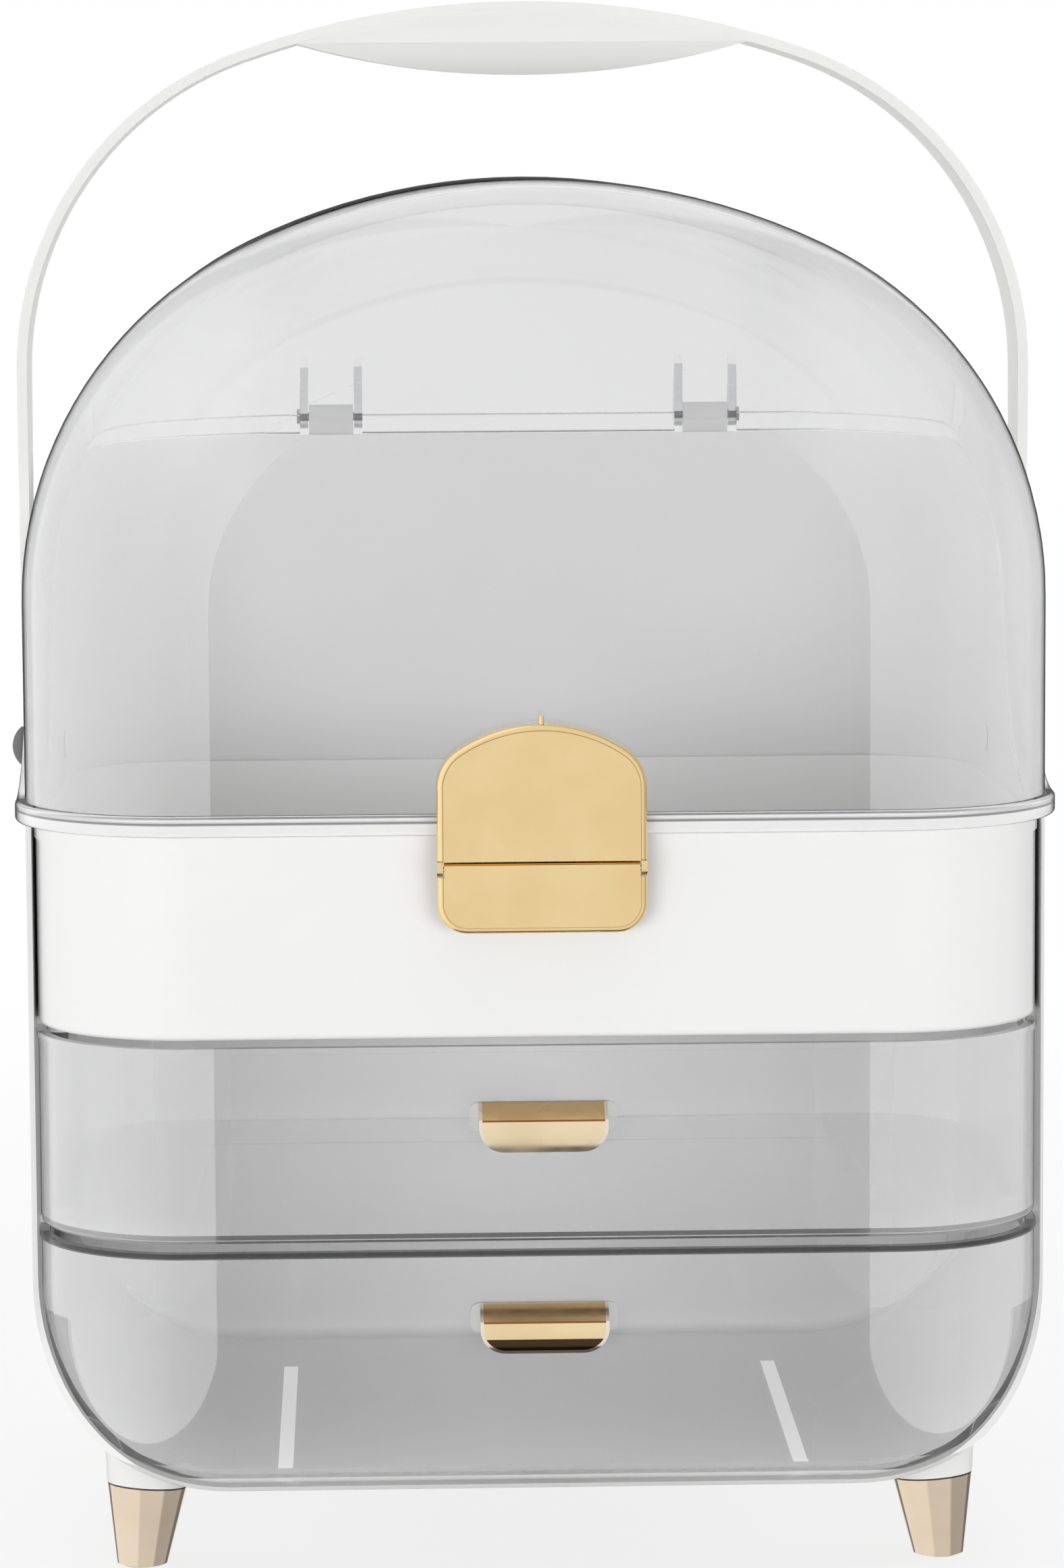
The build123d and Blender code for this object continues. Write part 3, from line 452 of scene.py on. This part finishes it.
def clear_plastic(name, tint, lit_tint, outline, middle, sides, ears=1.0, stripes=1.0):
    """Clear grey plastic: refracting walls that let the lamps' light in, with painted dark outlines
    for the dark edges that refraction gives.

    The outline sets in between two values of how much a surface turns away, and lit_tint colours
    the light of the lamps. The last four are the shares of light that pass in the middle, at the
    sides, in the ears and in the stripes."""
    material, net, surface = new_material(name)
    broad = noise(net, **HAZE)
    hazy = tuple(HAZE_SHARE * part for part in tint)
    body = edge_lines(net, colour_mix(net, spread(net, broad, 0, 1), tint, hazy))
    wave = bump(net, noise(net, **WAVES), WAVE_STRENGTH, WAVE_DEPTH)
    shader = principled(net, body, spread(net, broad, *CLEAR_ROUGH), wave, IOR=CLEAR_IOR)
    stripe = highlight_stripes(net)
    passed = clearness(net, middle, sides, ears, stripe, stripes)
    net.join(passed, shader.inputs["Transmission Weight"])
    # Painted highlight: the stripes glow
    net.join(colour_mix(net, stripe, (0, 0, 0), STRIPE_HIGHLIGHT_GLOW), shader.inputs["Emission Color"])
    shader.inputs["Emission Strength"].default_value = 1.0

    facing = net.add("ShaderNodeLayerWeight", Blend=0.5)
    turned_away = spread(net, facing.outputs["Facing"], 0, 1, *outline)
    path = net.add("ShaderNodeLightPath")
    drawn = both(net, turned_away, above(net, "Z", OUTLINE_START))
    # Painted shade: camera rays see dark outlines where the surface turns away
    edge = both(net, drawn, path.outputs["Is Camera Ray"])
    lighting = larger(net, path.outputs["Is Shadow Ray"], path.outputs["Is Diffuse Ray"])
    passing = net.add("ShaderNodeBsdfTransparent")
    net.join(colour_mix(net, lighting, OUTLINE_SHADE_TINT, lit_tint), passing.inputs["Color"])
    mix = shader_mix(net, larger(net, lighting, edge), shader.outputs["BSDF"],
                     passing.outputs["BSDF"])
    net.join(mix, surface)
    return material


# Drawn steel with fine lengthwise streaks
STREAKS = {"scale": 1200.0, "detail": 2.0, "stretch": (0.05, 1.0, 1.0)}
STREAK_STRENGTH, STREAK_DEPTH = 0.2, 0.03 * MM
STEEL, STEEL_SHADE, STEEL_ROUGH = (0.62, 0.62, 0.62), (0.5, 0.5, 0.5), (0.22, 0.38)


def steel(name):
    material, net, surface = new_material(name)
    streak = noise(net, **STREAKS)
    bright = colour_mix(net, spread(net, streak, 0, 1), STEEL, STEEL_SHADE)
    fine = bump(net, streak, STREAK_STRENGTH, STREAK_DEPTH)
    shader = principled(net, bright, spread(net, streak, *STEEL_ROUGH), fine, Metallic=1.0)
    net.join(shader.outputs["BSDF"], surface)
    return material


# Rubber with a matte grain
SPECKS, SPECK_STRENGTH, SPECK_DEPTH = {"scale": 700.0, "detail": 4.0}, 0.4, 0.1 * MM
RUBBER, RUBBER_SHADE, RUBBER_ROUGH = (0.55, 0.55, 0.53), (0.5, 0.5, 0.48), (0.6, 0.8)


def rubber(name):
    material, net, surface = new_material(name)
    speck = noise(net, **SPECKS)
    body = colour_mix(net, spread(net, speck, 0, 1), RUBBER, RUBBER_SHADE)
    fine = bump(net, speck, SPECK_STRENGTH, SPECK_DEPTH)
    shader = principled(net, body, spread(net, speck, *RUBBER_ROUGH), fine)
    net.join(shader.outputs["BSDF"], surface)
    return material


# Colours: each with its shade, then how rough the piece is
WHITE, WHITE_SHADE, WHITE_ROUGH = (0.86, 0.86, 0.855), (0.85, 0.85, 0.845), 0.34
SATIN, SATIN_SHADE, SATIN_ROUGH = (0.85, 0.852, 0.835), (0.835, 0.837, 0.82), 0.5
KNOB, KNOB_SHADE, KNOB_ROUGH = (0.13, 0.13, 0.13), (0.104, 0.104, 0.104), 0.4
GOLD, GOLD_SHADE, GOLD_ROUGH = (0.9, 0.7, 0.37), (0.87, 0.65, 0.33), 0.05
UPPER_PULL, UPPER_PULL_SHADE, UPPER_PULL_ROUGH = (0.93, 0.77, 0.52), (0.9, 0.72, 0.46), 0.28
LOWER_PULL, LOWER_PULL_SHADE, LOWER_PULL_ROUGH = (0.93, 0.75, 0.46), (0.9, 0.7, 0.41), 0.12
CHAMPAGNE, CHAMPAGNE_SHADE, CHAMPAGNE_ROUGH = (0.73, 0.61, 0.48), (0.7, 0.57, 0.43), 0.06
# The lid and the drawers are one clear plastic: the lid's darker tint is painted shade, and the
# drawers' lighter tint and clearer lit tint are painted light
LID_TINT, LID_LIT, LID_OUTLINE = (0.88, 0.88, 0.885), (0.98, 0.98, 0.98), (0.74, 0.9)
DRAWER_TINT, DRAWER_LIT, DRAWER_OUTLINE = (0.97, 0.97, 0.975), (1, 1, 1), (0.87, 0.97)


def dress(material, *names):
    for name in names:
        slots = nodes[name].data.materials
        slots.clear()
        slots.append(material)


def dress_all():
    upper_face = partial(pull_face, top=UPPER_PULL_TOP, dark=0)
    lower_face = partial(pull_face, top=LOWER_PULL_TOP, dark=DARK_REFLECTION_REACH)
    dress(plastic("white_moulding", WHITE, WHITE_SHADE, WHITE_ROUGH), "tray")
    dress(plastic("shell_moulding", WHITE, WHITE_SHADE, WHITE_ROUGH, shaded_back_wall), "shell")
    dress(plastic("handle_moulding", SATIN, SATIN_SHADE, SATIN_ROUGH), "handle")
    dress(plastic("grey_knob", KNOB, KNOB_SHADE, KNOB_ROUGH, white_stem),
          "pivot_knob_left", "pivot_knob_right")
    dress(clear_plastic("lid_smoke_clear", LID_TINT, LID_LIT, LID_OUTLINE,
                        middle=1.0, sides=0.74), "lid")
    dress(clear_plastic("drawer_smoke_clear", DRAWER_TINT, DRAWER_LIT, DRAWER_OUTLINE,
                        middle=0.92, sides=0.7, ears=0.75, stripes=0.0),
          "upper_drawer_bin", "lower_drawer_bin")
    dress(plating("gold_plating", GOLD, GOLD_SHADE, GOLD_ROUGH),
          "latch_plate", "latch_flap", "latch_keeper")
    dress(plating("upper_pull_plating", UPPER_PULL, UPPER_PULL_SHADE, UPPER_PULL_ROUGH,
                  upper_face), "upper_drawer_pull")
    dress(plating("lower_pull_plating", LOWER_PULL, LOWER_PULL_SHADE, LOWER_PULL_ROUGH,
                  lower_face), "lower_drawer_pull")
    dress(plating("champagne_plating", CHAMPAGNE, CHAMPAGNE_SHADE, CHAMPAGNE_ROUGH, foot_line),
          "foot_front_left", "foot_front_right", "foot_rear_left", "foot_rear_right")
    dress(steel("drawn_steel"),
          "hinge_pin_left", "hinge_pin_right", "latch_pin", "tray_screws", "foot_screws")
    dress(rubber("pale_rubber"), "foot_pads")


# Stage: a pale floor that keeps the object's shadow and turns white further out
FLOOR_SIZE = 12.0
FLOOR_NOISE = {"scale": 3.0, "detail": 3.0}
FLOOR_COLOUR, FLOOR_SHADE = (0.8, 0.8, 0.8), (0.79, 0.79, 0.79)
SHADOW_SHARE = 0.2
FADE_START, FADE_END = 0.25, 1.1


def seen_directly(net):
    """One for the camera's rays, also by way of a shiny or clear surface, and zero for others."""
    path = net.add("ShaderNodeLightPath")
    shiny = larger(net, path.outputs["Is Glossy Ray"], path.outputs["Is Transmission Ray"])
    return larger(net, path.outputs["Is Camera Ray"], shiny)


def floor_material():
    material, net, surface = new_material("pale_floor")
    tone = spread(net, noise(net, **FLOOR_NOISE), 0, 1)
    lit = net.add("ShaderNodeBsdfDiffuse", Color=colour_mix(net, tone, FLOOR_COLOUR, FLOOR_SHADE))
    white = net.add("ShaderNodeEmission")
    reach = length(net, object_coordinates(net))
    fade = spread(net, reach, 1 - SHADOW_SHARE, 1, FADE_START, FADE_END)
    seen_white = both(net, fade, seen_directly(net))
    mix = shader_mix(net, seen_white, lit.outputs["BSDF"], white.outputs["Emission"])
    net.join(mix, surface)
    return material


def make_floor():
    half = FLOOR_SIZE / 2
    corners = [(-half, -half, 0), (half, -half, 0), (half, half, 0), (-half, half, 0)]
    mesh = bpy.data.meshes.new("floor")
    mesh.from_pydata(corners, [], [(0, 1, 2, 3)])
    mesh.materials.append(floor_material())
    floor = bpy.data.objects.new("floor", mesh)
    bpy.context.scene.collection.objects.link(floor)
    floor.visible_glossy = False


# The room that shiny surfaces show: brightness by bearing, in degrees to the right of the front
ROOM = [(-180, 0.85), (-160, 0.85), (-155, 0.25), (-140, 0.25), (-134, 1.0), (-24, 1.0),
        (-17, 0.8), (50, 0.8), (57, 0.5), (120, 0.5), (130, 0.2), (150, 0.2), (157, 0.85),
        (180, 0.85)]
ROOM_STRENGTH = 1.12
# The room is darker straight below: brightness by the upward share of the direction
ROOM_FOOT = [(-1, 0.12), (-0.915, 0.12), (-0.885, 0.9), (-0.3, 1.0), (1, 1.0)]
# The soft light that matte surfaces get from all round, and what the camera sees
SOFT_COLOUR, SOFT_STRENGTH = (0.8, 0.8, 0.8), 0.45
BACKGROUND = (1, 1, 1)


def levels(net, value, steps):
    """Grey levels that a value between zero and one picks from a list of places and levels."""
    ramp = net.add("ShaderNodeValToRGB")
    stops = ramp.color_ramp.elements
    for index, (place, level) in enumerate(steps):
        stop = stops[index] if index < len(stops) else stops.new(place)
        stop.position = place
        stop.color = (level, level, level, 1)
    net.join(value, ramp.inputs["Fac"])
    return ramp.outputs["Color"]


def share_of(net, value, low, high):
    """Where a value lies between two ends, from zero to one."""
    node = net.add("ShaderNodeMapRange")
    node.inputs["From Min"].default_value = low
    node.inputs["From Max"].default_value = high
    net.join(value, node.inputs["Value"])
    return node.outputs["Result"]


def room_brightness(net):
    """The studio's bright panels and darker gaps, by direction round the object."""
    direction = net.add("ShaderNodeTexCoord").outputs["Generated"]
    split = net.add("ShaderNodeSeparateXYZ", Vector=direction)
    ahead = maths(net, "MULTIPLY", split.outputs["Y"], -1)
    angle = maths(net, "ARCTAN2", split.outputs["X"], ahead)
    bearing = share_of(net, angle, radians(-180), radians(180))
    rise = share_of(net, split.outputs["Z"], -1, 1)
    around = levels(net, bearing, [(degrees / 360 + 0.5, level) for degrees, level in ROOM])
    upwards = levels(net, rise, [(share / 2 + 0.5, level) for share, level in ROOM_FOOT])
    return both(net, around, upwards)


def make_world():
    world = bpy.data.worlds.new("studio")
    bpy.context.scene.world = world
    world.use_nodes = True
    net = Nodes(world.node_tree)
    output = net.add("ShaderNodeOutputWorld")
    path = net.add("ShaderNodeLightPath")
    soft = net.add("ShaderNodeBackground", Color=SOFT_COLOUR, Strength=SOFT_STRENGTH)
    white = net.add("ShaderNodeBackground", Color=BACKGROUND)
    room = net.add("ShaderNodeBackground", Color=room_brightness(net), Strength=ROOM_STRENGTH)
    lighting = shader_mix(net, path.outputs["Is Glossy Ray"], soft.outputs["Background"],
                          room.outputs["Background"])
    clear = larger(net, path.outputs["Is Camera Ray"], path.outputs["Is Transmission Ray"])
    net.join(shader_mix(net, clear, lighting, white.outputs["Background"]),
             output.inputs["Surface"])


# Softboxes: name, place, width, height and power, all turned to one point on the object
LAMP_AIM = (0, 0, 0.2)
LAMPS = [("front_left_softbox", (-1.0, -2.1, 0.22), 1.3, 0.5, 18),
         ("front_right_softbox", (1.0, -2.1, 0.22), 1.3, 0.5, 13),
         ("left_softbox", (-2.0, 0.3, 0.7), 1.2, 1.2, 12),
         ("right_softbox", (2.0, 0.3, 0.7), 1.2, 1.2, 12),
         ("back_softbox", (0, 2.2, 0.8), 1.8, 1.8, 20),
         ("top_softbox", (0, -0.1, 2.0), 2.0, 2.0, 11)]


def make_lamp(name, place, width, height, power):
    data = bpy.data.lights.new(name, "AREA")
    data.shape = "RECTANGLE"
    data.size = width
    data.size_y = height
    data.energy = power
    lamp = bpy.data.objects.new(name, data)
    lamp.location = place
    aim = Vector(LAMP_AIM) - Vector(place)
    lamp.rotation_euler = aim.to_track_quat("-Z", "Y").to_euler()
    lamp.visible_glossy = False
    lamp.visible_transmission = False
    bpy.context.scene.collection.objects.link(lamp)


make_camera()
dress_all()
make_floor()
make_world()
for lamp in LAMPS:
    make_lamp(*lamp)

bpy.context.scene.view_settings.view_transform = "Standard"
